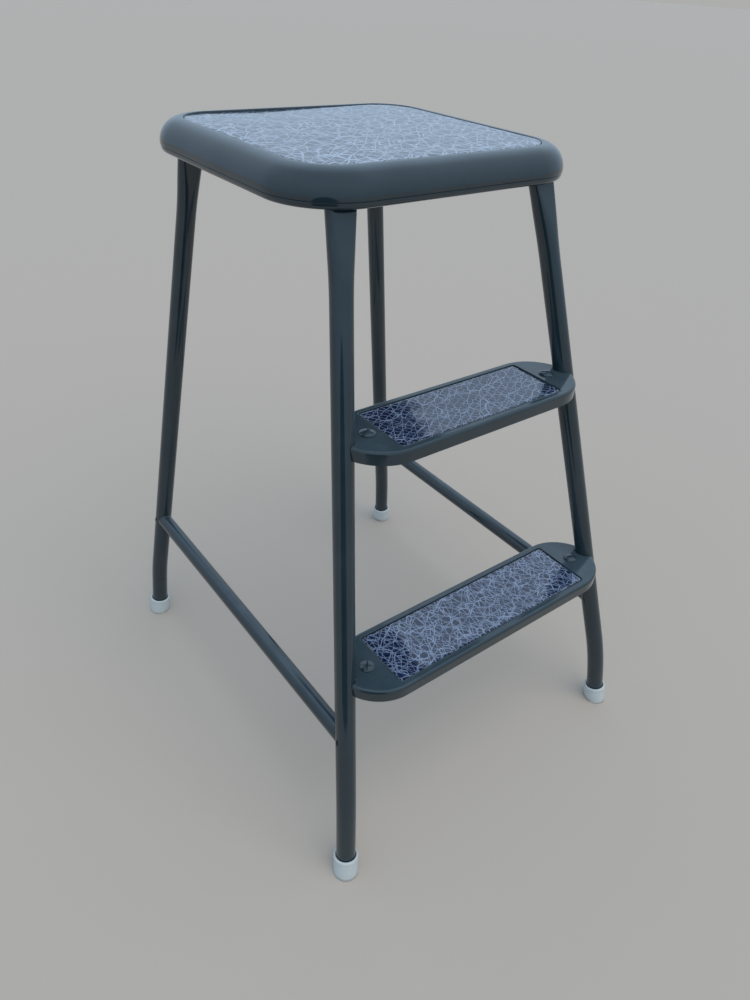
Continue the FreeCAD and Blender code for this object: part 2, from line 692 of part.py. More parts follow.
SLOT_TURNS = {("upper", "left"): "20", ("upper", "right"): "-35",
              ("lower", "left"): "50", ("lower", "right"): "-15"}


# Side stretchers


def build_stretcher(side, legs):
    """A level tube with both ends shaped to the legs that they meet."""
    front, rear = legs["front", side], legs["rear", side]
    name = f"side_stretcher_{side}"
    start = place(
        vector(front.x_at("stretcher_height"), front.y_at("stretcher_height"), "stretcher_height"),
        turn("vector(1; 0; 0)", "-90"),
    )
    length = f"({rear.y_at('stretcher_height')} - {front.y_at('stretcher_height')})"
    outside = new_cylinder(f"{name}_outside", "stretcher_diameter", length, start)
    inside = new_cylinder(f"{name}_inside", "stretcher_diameter - 2 * stretcher_wall", length, start)
    copes = [
        leg.rod(f"{name}_cope_{leg.end}", "tube_diameter + 2 * weld_gap",
                "(stretcher_height - 2 * stretcher_diameter)", "(stretcher_height + 2 * stretcher_diameter)")
        for leg in (front, rear)
    ]
    return combine("Cut", name, outside, inside, *copes)


def rear_of_leg(leg):
    """Front to rear place of the leg's rear surface at the height of the stretcher."""
    return f"({leg.y_at('stretcher_height')} + tube_diameter / 2 * hypot(1; {leg.lean_y}))"


def front_of_leg(leg):
    """Front to rear place of the leg's front surface at the height of the stretcher."""
    return f"({leg.y_at('stretcher_height')} - tube_diameter / 2 * hypot(1; {leg.lean_y}))"


def build_plug(side, legs):
    """A threaded plug inside the rear end of a stretcher."""
    rear = legs["rear", side]
    name = f"stretcher_plug_{side}"
    start = place(
        vector(rear.x_at("stretcher_height"), f"({front_of_leg(rear)} - plug_set_back)", "stretcher_height"),
        turn("vector(1; 0; 0)", "90"),
    )
    body = new_cylinder(f"{name}_blank", "stretcher_diameter - 2 * stretcher_wall - 2 * plug_fit",
                        "plug_length", start)
    bore = new_cylinder(f"{name}_thread", "bolt_diameter + 2 * thread_gap", "plug_length", start)
    return combine("Cut", name, body, bore)


def build_stretcher_bolt(side, legs):
    """A domed bolt whose head is shaped to the rear of the leg."""
    rear = legs["rear", side]
    name = f"stretcher_bolt_{side}"
    body = new_body(f"{name}_dome")
    profile = new_sketch(body, "profile", "XZ_Plane")
    rim = "(bolt_head_diameter / 2)"
    radius = f"(({rim} ^ 2 + bolt_head_height ^ 2) / (2 * bolt_head_height))"
    draw_outline(profile, [
        ("0", f"-{rim}"),
        (rim, f"-{rim}"),
        (rim, "0", "0", f"(bolt_head_height - {radius})", 1),
        ("0", "bolt_head_height"),
    ])
    doc.recompute()
    add_feature(body, "Revolution", "turned", profile, ReferenceAxis=(profile, ["V_Axis"]), Angle=360)
    seat = rear_of_leg(rear)
    bind(body, "Placement", place(
        vector(rear.x_at("stretcher_height"), seat, "stretcher_height"), turn("vector(1; 0; 0)", "-90")))
    saddle = rear.rod(f"{name}_saddle", "tube_diameter + 2 * weld_gap",
                      "(stretcher_height - 2 * bolt_head_diameter)", "(stretcher_height + 2 * bolt_head_diameter)")
    head = combine("Cut", f"{name}_head", body, saddle)
    shank = new_cylinder(
        f"{name}_shank", "bolt_diameter",
        f"(tube_diameter * hypot(1; {rear.lean_y}) + plug_set_back + plug_length)",
        place(vector(rear.x_at("stretcher_height"), f"({seat} + weld_gap + bolt_head_height / 2)",
                     "stretcher_height"), turn("vector(1; 0; 0)", "90")),
    )
    return combine("Fuse", name, head, shank)


def build_stool():
    """Every piece of the stool, by the name of its node."""
    legs = {(end, side): Leg(end, side) for end in ("front", "rear") for side in SIDES}
    pieces = {}

    def keep(piece):
        pieces[piece.Label] = piece

    keep(build_seat_pan())
    keep(build_inset("seat_inset", RECESS_WIDTH, RECESS_DEPTH, RECESS_CORNER, "seat_inset_thickness",
                     "(seat_height - seat_recess)", "seat_setback"))
    for side in SIDES:
        keep(build_bearer(side))
    for leg in legs.values():
        keep(leg.build())
        keep(build_ferrule(leg))
    for side in SIDES:
        keep(build_stretcher(side, legs))
        keep(build_plug(side, legs))
        keep(build_stretcher_bolt(side, legs))
    for level in STEP_HEIGHTS:
        keep(build_step(level, legs))
        keep(build_step_inset(level, legs))
        for side in SIDES:
            keep(build_lug(level, legs["front", side]))
            keep(build_step_screw(level, legs["front", side]))
            keep(build_step_nut(level, legs["front", side]))
    return pieces


def check_stool(pieces):
    """Stops if any feature failed or any piece isn't one valid solid."""
    for feature in doc.Objects:
        if {"Invalid", "Error"} & set(feature.State):
            raise RuntimeError(f"{feature.Name} failed: {feature.State}")
    for name, piece in pieces.items():
        shape = piece.Shape
        if shape.isNull() or not shape.isValid() or len(shape.Solids) != 1:
            raise RuntimeError(f"{name} isn't one valid solid")


stool = build_stool()
doc.recompute()
check_stool(stool)
os.makedirs("parts", exist_ok=True)
for node, piece in stool.items():
    piece.Shape.exportStep(f"parts/{node}.step")
    print(f"{node}: {piece.Shape.Volume / 1000:.2f} cm3")
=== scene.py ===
"""Looks of a rigid step stool in slate enamel with crackle-patterned insets.

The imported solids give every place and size. The pieces that catch the light, which are the seat
pan, insets, legs, stretchers and ferrules, are made again as smooth surfaces over their solids,
with the welds and pressed lines that the solids leave out. A fine bead is added round each
step's recess. The other solids stay and get a finish.
Lengths are in metres: +X is the right side seen from the front, -Y the front with the steps.
"""

import enum
import logging
import math
from dataclasses import dataclass
from typing import Any, NamedTuple

import bmesh
import bpy
import numpy as np
from mathutils import Matrix, Vector


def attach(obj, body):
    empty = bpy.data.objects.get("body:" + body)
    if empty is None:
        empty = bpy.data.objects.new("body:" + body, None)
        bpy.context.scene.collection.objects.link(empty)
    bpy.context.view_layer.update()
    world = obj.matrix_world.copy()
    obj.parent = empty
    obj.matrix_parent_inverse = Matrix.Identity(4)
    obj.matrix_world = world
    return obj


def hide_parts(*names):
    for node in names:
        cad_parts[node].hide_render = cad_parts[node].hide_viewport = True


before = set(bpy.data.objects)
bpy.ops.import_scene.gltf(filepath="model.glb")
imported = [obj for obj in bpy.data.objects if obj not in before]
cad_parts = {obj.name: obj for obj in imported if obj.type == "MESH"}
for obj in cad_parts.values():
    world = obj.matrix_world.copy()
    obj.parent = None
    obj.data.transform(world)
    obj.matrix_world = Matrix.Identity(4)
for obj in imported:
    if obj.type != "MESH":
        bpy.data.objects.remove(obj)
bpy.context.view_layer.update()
LOG = logging.getLogger("step_stool")
Colour = tuple[float, float, float]
Place = tuple[float, float, float]
Spot = tuple[float, float]
Array = np.ndarray
Material = bpy.types.Material
Piece = bpy.types.Object
Socket = bpy.types.NodeSocket


# Shader arithmetic


class Signal:
    """A shader socket that takes part in arithmetic: each operator adds one Math node."""

    def __init__(self, nodes: "Nodes", socket: Socket) -> None:
        """Keeps the socket and the nodes that it belongs to."""
        self.nodes = nodes
        self.socket = socket

    def __add__(self, other: "Number") -> "Signal":
        """This signal plus another."""
        return self.nodes.maths("ADD", self, other)

    def __sub__(self, other: "Number") -> "Signal":
        """This signal minus another."""
        return self.nodes.maths("SUBTRACT", self, other)

    def __rsub__(self, other: "Number") -> "Signal":
        """A number minus this signal."""
        return self.nodes.maths("SUBTRACT", other, self)

    def __mul__(self, other: "Number") -> "Signal":
        """This signal times another."""
        return self.nodes.maths("MULTIPLY", self, other)

    __radd__ = __add__
    __rmul__ = __mul__

    def most(self, other: "Number") -> "Signal":
        """The larger of this signal and another."""
        return self.nodes.maths("MAXIMUM", self, other)

    def least(self, other: "Number") -> "Signal":
        """The smaller of this signal and another."""
        return self.nodes.maths("MINIMUM", self, other)

    def rises(self, low: float, high: float) -> "Signal":
        """A smooth step from 0 where the signal is low to 1 where it is high.

        Args:
            low: Value at which the step starts.
            high: Value at which the step ends.

        Returns:
            The step, between 0 and 1.
        """
        node = self.nodes.add(
            "ShaderNodeMapRange", {"interpolation_type": "SMOOTHSTEP"},
            {"Value": self, "From Min": low, "From Max": high, "To Min": 0.0, "To Max": 1.0},
        )
        return Signal(self.nodes, node.outputs["Result"])


Number = Signal | float


class Nodes:
    """A node tree, with a single method that adds any node and links it."""

    def __init__(self, tree: bpy.types.NodeTree) -> None:
        """Keeps the tree and empties it."""
        self.tree = tree
        self.tree.nodes.clear()

    def add(self, kind: str, settings: dict[str, Any] | None = None,
            sockets: dict[Any, Any] | None = None) -> bpy.types.Node:
        """Adds a node, sets it up, then fills or links its sockets.

        Args:
            kind: The node's type.
            settings: Properties to set first. "stops" holds a ramp's two (position, colour) pairs.
            sockets: Value, signal or socket for each input, by name or number.

        Returns:
            The node.
        """
        node = self.tree.nodes.new(kind)
        for name, setting in (settings or {}).items():
            if name == "stops":
                for element, (position, colour) in zip(node.color_ramp.elements, setting):
                    element.position = position
                    element.color = (*colour, 1.0)
            else:
                setattr(node, name, setting)
        for name, given in (sockets or {}).items():
            given = given.socket if isinstance(given, Signal) else given
            if isinstance(given, Socket):
                self.tree.links.new(given, node.inputs[name])
            elif isinstance(given, tuple) and node.inputs[name].type == "RGBA":
                node.inputs[name].default_value = (*given, 1.0)
            else:
                node.inputs[name].default_value = given
        return node

    def maths(self, operation: str, *values: Number) -> Signal:
        """One Math node over two values."""
        node = self.add("ShaderNodeMath", {"operation": operation}, dict(enumerate(values)))
        return Signal(self, node.outputs["Value"])

    def upward(self, vector: Socket) -> Signal:
        """The Z part of a vector."""
        return Signal(self, self.add("ShaderNodeSeparateXYZ", None, {0: vector}).outputs["Z"])


class Patches(NamedTuple):
    """Soft patches: noise with lumps of a cell's size, raised from 0 at low to 1 at high."""

    cell: float
    detail: float
    low: float
    high: float


class Ripple(NamedTuple):
    """A relief: noise with lumps of a cell's size that stands for a depth in metres."""

    cell: float
    detail: float
    depth: float
    strength: float


class Tiling(NamedTuple):
    """One layer of a crackle: cells with a turn in degrees, a stretch and a raggedness."""

    cell: float
    turn: float
    stretch: float
    ragged: float


class Shader(Nodes):
    """One material and what its finish is made from."""

    def __init__(self, name: str) -> None:
        """Makes an empty material with its output node.

        Args:
            name: The material's name.
        """
        self.material = bpy.data.materials.new(name)
        self.material.use_nodes = True
        super().__init__(self.material.node_tree)
        self.output = self.add("ShaderNodeOutputMaterial")
        self.here = self.add("ShaderNodeTexCoord").outputs["Object"]

    def noise(self, cell: float, detail: float) -> Signal:
        """Soft noise of about 0.5 with lumps about one cell across, and octaves of finer detail."""
        node = self.add("ShaderNodeTexNoise", None, {
            "Vector": self.here, "Scale": 1.0 / cell, "Detail": detail, "Roughness": 0.55})
        return Signal(self, node.outputs["Fac"])

    def patches(self, kind: Patches) -> Signal:
        """Noise that is 0 under the kind's low limit and 1 over its high limit."""
        return self.noise(kind.cell, kind.detail).rises(kind.low, kind.high)

    def relief(self, kind: Ripple, under: Socket | None = None) -> Socket:
        """The normal of a rippled surface, whose height is noise x depth.

        Args:
            kind: Size, depth and strength of the ripple.
            under: Normal of a coarser ripple that this one lies on.

        Returns:
            The normal.
        """
        sockets = {"Height": self.noise(kind.cell, kind.detail),
                   "Distance": kind.depth, "Strength": kind.strength}
        if under is not None:
            sockets["Normal"] = under
        return self.add("ShaderNodeBump", None, sockets).outputs["Normal"]

    def cracks(self, tiling: Tiling, shift: Place) -> Signal:
        """Distance to the nearest edge of a random tiling of the XY plane.

        Args:
            tiling: Size, turn, stretch and raggedness of the cells.
            shift: Where the tiling's axes start, in metres.

        Returns:
            The distance, counted in cells.
        """
        axes = self.add("ShaderNodeMapping", {"vector_type": "TEXTURE"}, {
            "Vector": self.here, "Location": shift,
            "Rotation": (0.0, 0.0, math.radians(tiling.turn)), "Scale": (1.0, tiling.stretch, 1.0)})
        node = self.add(
            "ShaderNodeTexVoronoi", {"voronoi_dimensions": "2D", "feature": "DISTANCE_TO_EDGE"},
            {"Vector": axes.outputs["Vector"], "Scale": 1.0 / tiling.cell,
             "Randomness": tiling.ragged})
        return Signal(self, node.outputs["Distance"])

    def blend(self, share: Number, low: Any, high: Any) -> Socket:
        """A colour between two others: low + share x (high - low)."""
        node = self.add("ShaderNodeMix", {"data_type": "RGBA"}, {0: share, 6: low, 7: high})
        return node.outputs[2]

    def surface(self, sockets: dict[str, Any]) -> Material:
        """Closes the material with one Principled surface.

        Args:
            sockets: Value, signal or socket for each of its inputs.

        Returns:
            The material.
        """
        node = self.add("ShaderNodeBsdfPrincipled", None, sockets)
        self.tree.links.new(node.outputs["BSDF"], self.output.inputs["Surface"])
        return self.material


# Finishes


@dataclass(frozen=True)
class Enamel:
    """Slate enamel sprayed over pressed steel: a smooth gloss with faint orange peel and dust, and
    painted top light on upward faces.
    """

    name: str = "slate_enamel"
    colour: Colour = (0.012, 0.026, 0.035)
    dusty: Colour = (0.024, 0.042, 0.053)
    # Lighter colour of upward faces: painted top light, mixed with dust that has come to rest
    # there.
    lying: Colour = (0.046, 0.074, 0.096)
    dust: Patches = Patches(0.035, 4.0, 0.42, 0.72)
    dust_share: float = 0.35
    specks: Patches = Patches(0.0009, 1.0, 0.70, 0.78)
    specks_share: float = 0.25
    steep: float = 0.80
    level: float = 0.99
    # Share of painted top light that upward faces take even where there is no dust.
    painted_top_light_share: float = 0.6
    settled_share: float = 0.4
    wave: Ripple = Ripple(0.045, 0.0, 0.0004, 0.6)
    peel: Ripple = Ripple(0.0022, 1.0, 0.00002, 0.8)
    roughness: float = 0.09
    dust_roughness: float = 0.05
    coat: float = 0.25
    coat_roughness: float = 0.04

    def material(self) -> Material:
        """Builds the enamel.

        The paint turns dusty by dust x its share + specks x their share. As the normal's Z rises
        from steep to level, the paint takes a lighter top colour by a fixed share + dust x a second
        share: the fixed share is painted top light, the second is dust that has come to rest.

        Returns:
            The enamel.
        """
        shader = Shader(self.name)
        dust = shader.patches(self.dust)
        spread = dust * self.dust_share + shader.patches(self.specks) * self.specks_share
        sprayed = shader.blend(spread, self.colour, self.dusty)
        normal = shader.add("ShaderNodeNewGeometry").outputs["Normal"]
        # Painted top light: faces turned up are made lighter as if lit from above, and dust on them
        # adds to it.
        upward = shader.upward(normal).rises(self.steep, self.level)
        settled = upward * (dust * self.settled_share + self.painted_top_light_share)
        return shader.surface({
            "Base Color": shader.blend(settled, sprayed, self.lying),
            "Roughness": dust * self.dust_roughness + self.roughness,
            "Normal": shader.relief(self.peel, shader.relief(self.wave)),
            "Coat Weight": self.coat,
            "Coat Roughness": self.coat_roughness,
        })


class Weave(enum.Enum):
    """The crackle patterns of the insets, each as the tilings that lie over each other."""

    LONG = (Tiling(0.0098, 35.0, 3.6, 1.0), Tiling(0.0104, -50.0, 3.8, 1.0),
            Tiling(0.0100, -8.0, 2.0, 1.0), Tiling(0.0180, 75.0, 2.2, 1.0))
    NET = (Tiling(0.0050, 30.0, 1.25, 0.45), Tiling(0.0110, -35.0, 2.8, 1.0),
           Tiling(0.0125, 62.0, 2.6, 1.0))
    STRAWS = (Tiling(0.0078, 24.0, 2.6, 1.0), Tiling(0.0082, -40.0, 2.8, 1.0),
              Tiling(0.0080, 68.0, 2.4, 1.0), Tiling(0.0090, -5.0, 2.6, 1.0),
              Tiling(0.0120, 46.0, 2.0, 1.0))


@dataclass(frozen=True)
class Laminate:
    """Glossy blue-grey laminate under a pale crackle of crossing lines."""

    name: str
    weave: Weave
    half_line: float
    line: Colour = (0.260, 0.340, 0.500)
    line_share: float = 0.85
    wave: Ripple = Ripple(0.028, 0.0, 0.0009, 1.0)
    ground: Colour = (0.014, 0.030, 0.082)
    deep: Colour = (0.003, 0.007, 0.026)
    clouds: Patches = Patches(0.0032, 3.0, 0.35, 0.68)
    wrinkle: Ripple = Ripple(0.004, 2.0, 0.00002, 0.4)
    core: float = 0.5
    fringe: float = 2.2
    drift_cell: float = 0.014
    drift_gain: float = 1.2
    faint: float = 0.25
    shift: Spot = (0.013, 0.029)
    roughness: float = 0.07
    wrinkle_roughness: float = 0.04
    specular: float = 0.7
    coat: float = 0.5
    coat_roughness: float = 0.03

    def lines(self, shader: Shader) -> Signal:
        """Pale lines: the strongest of several tilings that lie over each other.

        A line is 1 within core x half its width of a cell's edge and falls to 0 at fringe x half
        its width. It fades along its way by the lesser of faint + noise x drift gain and 1.

        Args:
            shader: The material that is being made.

        Returns:
            1 on a line and 0 between the lines.
        """
        fade = (shader.noise(self.drift_cell, 1.0) * self.drift_gain + self.faint).least(1.0)
        lit = None
        for number, tiling in enumerate(self.weave.value):
            gap = shader.cracks(tiling, (self.shift[0] * number, self.shift[1] * number, 0.0))
            half = self.half_line / tiling.cell
            edge = (1 - gap.rises(half * self.core, half * self.fringe)) * fade
            lit = edge if lit is None else lit.most(edge)
        return lit

    def material(self) -> Material:
        """Builds the laminate: a ground clouded by deep patches, under the lines.

        Returns:
            The laminate.
        """
        shader = Shader(self.name)
        ground = shader.blend(shader.patches(self.clouds), self.deep, self.ground)
        wrinkle = shader.noise(self.wrinkle.cell, self.wrinkle.detail)
        return shader.surface({
            "Base Color": shader.blend(self.lines(shader) * self.line_share, ground, self.line),
            "Roughness": wrinkle * self.wrinkle_roughness + self.roughness,
            "Normal": shader.relief(self.wrinkle, shader.relief(self.wave)),
            "Specular IOR Level": self.specular,
            "Coat Weight": self.coat,
            "Coat Roughness": self.coat_roughness,
        })


@dataclass(frozen=True)
class Rubber:
    """Pale moulded rubber, a little darker towards the floor."""

    name: str = "pale_rubber"
    colour: Colour = (0.52, 0.58, 0.59)
    darker_near_floor: Colour = (0.43, 0.45, 0.44)
    darkening_height: float = 0.009
    darkening_share: float = 0.4
    scuffs: Patches = Patches(0.004, 4.0, 0.45, 0.75)
    scuffs_share: float = 0.12
    grain: Ripple = Ripple(0.0008, 1.0, 0.00004, 0.6)
    roughness: float = 0.42
    scuffs_roughness: float = 0.15

    def material(self) -> Material:
        """Builds the rubber: it is darker at the floor, fading to nothing at a given height, and
        scuffs lie everywhere.

        Returns:
            The rubber.
        """
        shader = Shader(self.name)
        # Darker towards the floor, fading out a few millimetres up.
        low = 1 - shader.upward(shader.here).rises(0.0, self.darkening_height)
        scuffs = shader.patches(self.scuffs)
        darkened_and_scuffed = low * self.darkening_share + scuffs * self.scuffs_share
        return shader.surface({
            "Base Color": shader.blend(darkened_and_scuffed, self.colour, self.darker_near_floor),
            "Roughness": scuffs * self.scuffs_roughness + self.roughness,
            "Normal": shader.relief(self.grain),
        })


@dataclass(frozen=True)
class Zinc:
    """Plain plated steel of the hidden nuts and plugs."""

    name: str = "zinc_plate"
    colour: Colour = (0.50, 0.50, 0.48)
    dull: Colour = (0.33, 0.33, 0.31)
    clouds: Patches = Patches(0.004, 4.0, 0.4, 0.7)
    grain: Ripple = Ripple(0.0006, 1.0, 0.00002, 0.5)
    roughness: float = 0.30
    clouds_roughness: float = 0.15

    def material(self) -> Material:
        """Builds the plated steel, duller and rougher in its clouds.

        Returns:
            The plated steel.
        """
        shader = Shader(self.name)
        clouds = shader.patches(self.clouds)
        return shader.surface({
            "Base Color": shader.blend(clouds, self.colour, self.dull),
            "Roughness": clouds * self.clouds_roughness + self.roughness,
            "Metallic": 1.0,
            "Normal": shader.relief(self.grain),
        })


@dataclass(frozen=True)
class Finishes:
    """The stool's materials, made once."""

    enamel: Material
    seat_inset: Material
    upper_inset: Material
    lower_inset: Material
    rubber: Material
    zinc: Material

    @staticmethod
    def make() -> "Finishes":
        """Builds every material.

        Returns:
            The materials.
        """
        return Finishes(
            enamel=Enamel().material(),
            seat_inset=Laminate("seat_laminate", Weave.LONG, half_line=0.00030,
                                line=(0.43, 0.53, 0.70),
                                wave=Ripple(0.028, 0.0, 0.0004, 1.0)).material(),
            upper_inset=Laminate("upper_laminate", Weave.NET, half_line=0.00016).material(),
            lower_inset=Laminate("lower_laminate", Weave.STRAWS, half_line=0.00015).material(),
            rubber=Rubber().material(),
            zinc=Zinc().material(),
        )


# Surfaces


def grid_faces(rows: int, columns: int, closed: bool) -> Array:
    """Quads of a grid whose columns close into a ring.

    Args:
        rows: Rings of points.
        columns: Points round each ring.
        closed: Whether the last ring joins the first.

    Returns:
        Four point numbers a face.
    """
    row = np.arange(rows if closed else rows - 1)[:, None]
    column = np.arange(columns)[None, :]
    after_row, after_column = (row + 1) % rows, (column + 1) % columns
    corners = [row * columns + column, row * columns + after_column,
               after_row * columns + after_column, after_row * columns + column]
    return np.stack([corner.ravel() for corner in np.broadcast_arrays(*corners)], axis=1)


def skin(name: str, rings: Array, closed: bool = False) -> Piece:
    """A smooth object over rings of points, with doubles merged and faces pointing outwards.

    Args:
        name: The piece's name.
        rings: Coordinates by ring and point.
        closed: Whether the last ring joins the first.

    Returns:
        The object, linked to the scene at the origin.
    """
    mesh = bpy.data.meshes.new(name)
    faces = grid_faces(*rings.shape[:2], closed)
    mesh.from_pydata(rings.reshape(-1, 3).tolist(), [], faces.tolist())
    work = bmesh.new()
    work.from_mesh(mesh)
    bmesh.ops.remove_doubles(work, verts=work.verts, dist=1e-6)
    bmesh.ops.recalc_face_normals(work, faces=work.faces)
    work.to_mesh(mesh)
    work.free()
    mesh.polygons.foreach_set("use_smooth", np.ones(len(mesh.polygons), bool))
    piece = bpy.data.objects.new(name, mesh)
    bpy.context.scene.collection.objects.link(piece)
    return piece


def panel(name: str, outline: list[Place], material: Material) -> Piece:
    """One flat face for the studio.

    Args:
        name: Its name.
        outline: Its corners in order.
        material: Its finish.

    Returns:
        The object, linked to the scene.
    """
    mesh = bpy.data.meshes.new(name)
    mesh.from_pydata(outline, [], [tuple(range(len(outline)))])
    mesh.materials.append(material)
    piece = bpy.data.objects.new(name, mesh)
    bpy.context.scene.collection.objects.link(piece)
    return piece


def around(count: int) -> Array:
    """Angles spread evenly over a full turn, in radians."""
    return np.linspace(0.0, 2 * math.pi, count, endpoint=False)


def arc(centre: Spot, radius: float, start: float, end: float, steps: int) -> Array:
    """Points of an arc: centre + radius (cos a, sin a) for angles in degrees from start to end."""
    angles = np.radians(np.linspace(start, end, steps))
    return np.array(centre) + radius * np.stack([np.cos(angles), np.sin(angles)], axis=1)


def rounded_ring(half_x: float, half_y: float, corner: float, steps: int,
                 side: int) -> tuple[Array, Array]:
    """A rectangle with round corners, and its outward directions.

    Each corner is corner (cos a, sin a) about its own centre, and the straight sides between
    them are filled evenly, so that a surface on the ring has even faces.

    Args:
        half_x: Half the width.
        half_y: Half the depth.
        corner: Corner radius.
        steps: Points on each corner.
        side: Points on each straight side, between its corners.

    Returns:
        Points and directions, one row each, anticlockwise.
    """
    spots, ways = [], []
    for quarter, (sx, sy) in enumerate(((1, 1), (-1, 1), (-1, -1), (1, -1))):
        angles = np.radians(90.0 * quarter + np.linspace(0.0, 90.0, steps))
        way = np.stack([np.cos(angles), np.sin(angles)], axis=1)
        spots.append(np.array([sx * (half_x - corner), sy * (half_y - corner)]) + corner * way)
        ways.append(way)
    points, directions = [], []
    share = np.linspace(0.0, 1.0, side + 2)[1:-1, None]
    for now, (spot, way) in enumerate(zip(spots, ways)):
        after = spots[(now + 1) % len(spots)]
        points += [spot, spot[-1] + share * (after[0] - spot[-1])]
        directions += [way, np.repeat(way[-1:], side, axis=0)]
    return np.concatenate(points), np.concatenate(directions)


def swept(ring: Array, ways: Array, section: Array) -> Array:
    """A section carried round a ring: ring point + outward distance x direction, at its height.

    Args:
        ring: Points of the ring.
        ways: Outward direction at each of them.
        section: Rows of (outward distance, height).

    Returns:
        Coordinates by section point and ring point.
    """
    across = ring[None] + section[:, 0, None, None] * ways[None]
    return np.dstack([across, np.repeat(section[:, 1, None], len(ring), axis=1)])


def at_height(rings: Array, height: float) -> Array:
    """Rings of (x, y) points, all at one height."""
    return np.dstack([rings, np.full(rings.shape[:2], height)])


def cap(point: Array, count: int) -> Array:
    """A ring whose points all lie at one point, which closes the end of a tube."""
    return np.repeat(point[None, None], count, axis=1)


# Pieces


def ride(piece: Piece, material: Material, slot: str, *nodes: str) -> None:
    """Gives a new piece its finish and its body, and lets it stand for its solids.

    Args:
        piece: The new piece.
        material: Its finish.
        slot: The record's material slot; not used.
        nodes: Solids that it stands for.
    """
    piece.data.materials.append(material)
    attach(piece, "root")
    if nodes:
        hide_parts(*nodes)
    LOG.info("%s: %d faces", piece.name, len(piece.data.polygons))


def dress(node: str, material: Material) -> None:
    """Gives a solid that stays its finish.

    Args:
        node: The solid's name.
        material: Its finish.
    """
    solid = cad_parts[node]
    solid.data.materials.clear()
    solid.data.materials.append(material)
    LOG.info("%s: solid kept", node)


class Side(enum.Enum):
    """The stool's sides, seen from the front."""

    LEFT = "left"
    RIGHT = "right"

    @property
    def sign(self) -> float:
        """Sign of X on this side."""
        return -1.0 if self is Side.LEFT else 1.0


class End(enum.Enum):
    """The stool's ends: the steps are at the front."""

    FRONT = "front"
    REAR = "rear"

    @property
    def sign(self) -> float:
        """Sign of Y at this end."""
        return -1.0 if self is End.FRONT else 1.0


class Level(enum.Enum):
    """The two steps."""

    UPPER = "upper"
    LOWER = "lower"


# Seat


@dataclass
class Seat:
    """Pressed pan with a rolled rim, its inset and the two bearers under it.

    The hem is a row of (inward, down) points under the crown, measured from the rim's outside.
    The waves are (height, number round the rim, start), and waisted is how far the rim's outside
    is drawn in.
    """

    top: float = 0.610
    middle_y: float = 0.05975
    half_width: float = 0.1495
    half_depth: float = 0.13925
    corner: float = 0.058
    rim: float = 0.0225
    crown: float = 0.0205
    tuck: float = 0.008
    tuck_angle: float = 45.0
    recess: float = 0.0035
    sheet: float = 0.0015
    crest: float = 0.0012
    crest_foot: float = 1.6
    hem: tuple[Spot, ...] = (
        (0.00003, 0.0002), (0.00120, 0.0003), (0.00125, 0.0010), (0.00055, 0.0011),
        (0.00050, 0.0014), (0.00060, 0.0028), (0.00100, 0.0043), (0.00170, 0.0052))
    waves: tuple[Place, ...] = ((0.00010, 5.0, 0.7), (0.00007, 11.0, 2.0))
    waisted: float = 0.00017
    floor_shares: tuple[float, ...] = (0.0, 0.35, 0.7, 0.93)
    corner_steps: int = 24
    side_steps: int = 22

    def section(self) -> Array:
        """The rim's section, outward from the recess's wall and up from the rim's top.

        It runs up the recess's wall, over its crest, round the crown, down the hem, round the
        lip and back along the inside to the underside of the recess's floor. Each arc has its
        centre, radius, first and last angle in degrees and number of points.

        Returns:
            Rows of (outward, up).
        """
        crown_at = (self.rim - self.crown, -self.crown)
        tuck_at = (self.rim - self.tuck, -self.crown)
        thin = self.sheet
        end = math.radians(-self.tuck_angle)
        lip_at = (tuck_at[0] + (self.tuck - thin / 2) * math.cos(end),
                  tuck_at[1] + (self.tuck - thin / 2) * math.sin(end))
        return np.concatenate([
            [[0.0, -self.recess]],
            [[0.0, -self.crest * self.crest_foot]],
            arc((self.crest, -self.crest), self.crest, 180.0, 90.0, 7),
            arc(crown_at, self.crown, 88.0, 0.0, 34),
            [[self.rim - inward, -self.crown - down] for inward, down in self.hem],
            arc(lip_at, thin / 2, -self.tuck_angle - 30.0, -self.tuck_angle - 150.0, 5),
            arc(tuck_at, self.tuck - thin, -self.tuck_angle, 0.0, 8),
            arc(crown_at, self.crown - thin, 4.0, 90.0, 20),
            [[thin, -thin]],
            [[thin, -self.recess - thin]],
        ])

    def pan(self) -> Piece:
        """The section carried round the recess, between the two faces of the recess's floor.

        The rim is drawn in by (waisted + sum of height x sin(number x a + start)) x s^2, with a
        the angle about the middle and s the share of the rim's width from 0 to 1.

        Returns:
            The pan.
        """
        ring, ways = rounded_ring(self.half_width - self.rim, self.half_depth - self.rim,
                                  self.corner - self.rim, self.corner_steps, self.side_steps)
        section = self.section()
        rim = swept(ring, ways, section)
        angle = np.arctan2(ring[:, 1], ring[:, 0])
        wave = sum(height * np.sin(number * angle + start) for height, number, start in self.waves)
        outside = np.clip(section[:, 0] / self.rim, 0.0, 1.0) ** 2
        drawn = outside[:, None] * (wave + self.waisted)[None, :]
        rim[..., :2] -= ways[None] * drawn[..., None]
        shares = np.array(self.floor_shares)[:, None, None]
        floor_top = at_height(ring[None] * shares, -self.recess)
        inner = (ring + self.sheet * ways)[None] * shares[::-1]
        floor_low = at_height(inner, -self.recess - self.sheet)
        rings = np.concatenate([floor_top, rim, floor_low])
        return skin("seat_pan_pressed", rings + np.array([0.0, self.middle_y, self.top]))

    def build(self, finishes: Finishes) -> None:
        """Makes the pan and the inset and dresses the bearers.

        Args:
            finishes: The stool's materials.
        """
        ride(self.pan(), finishes.enamel, "enamel", "seat_pan")
        rear = self.half_depth - self.rim
        inset = Inset(
            "seat_inset", (0.0, self.middle_y, self.top - self.recess),
            self.half_width - self.rim, rear, self.corner - self.rim, thick=0.002, lift=0.0012,
            groove=0.0005, sag=0.0014, sag_at=(-0.035, rear), sag_wide=(0.090, 0.040))
        inset.build(finishes.seat_inset)
        for side in Side:
            dress(f"seat_bearer_{side.value}", finishes.enamel)


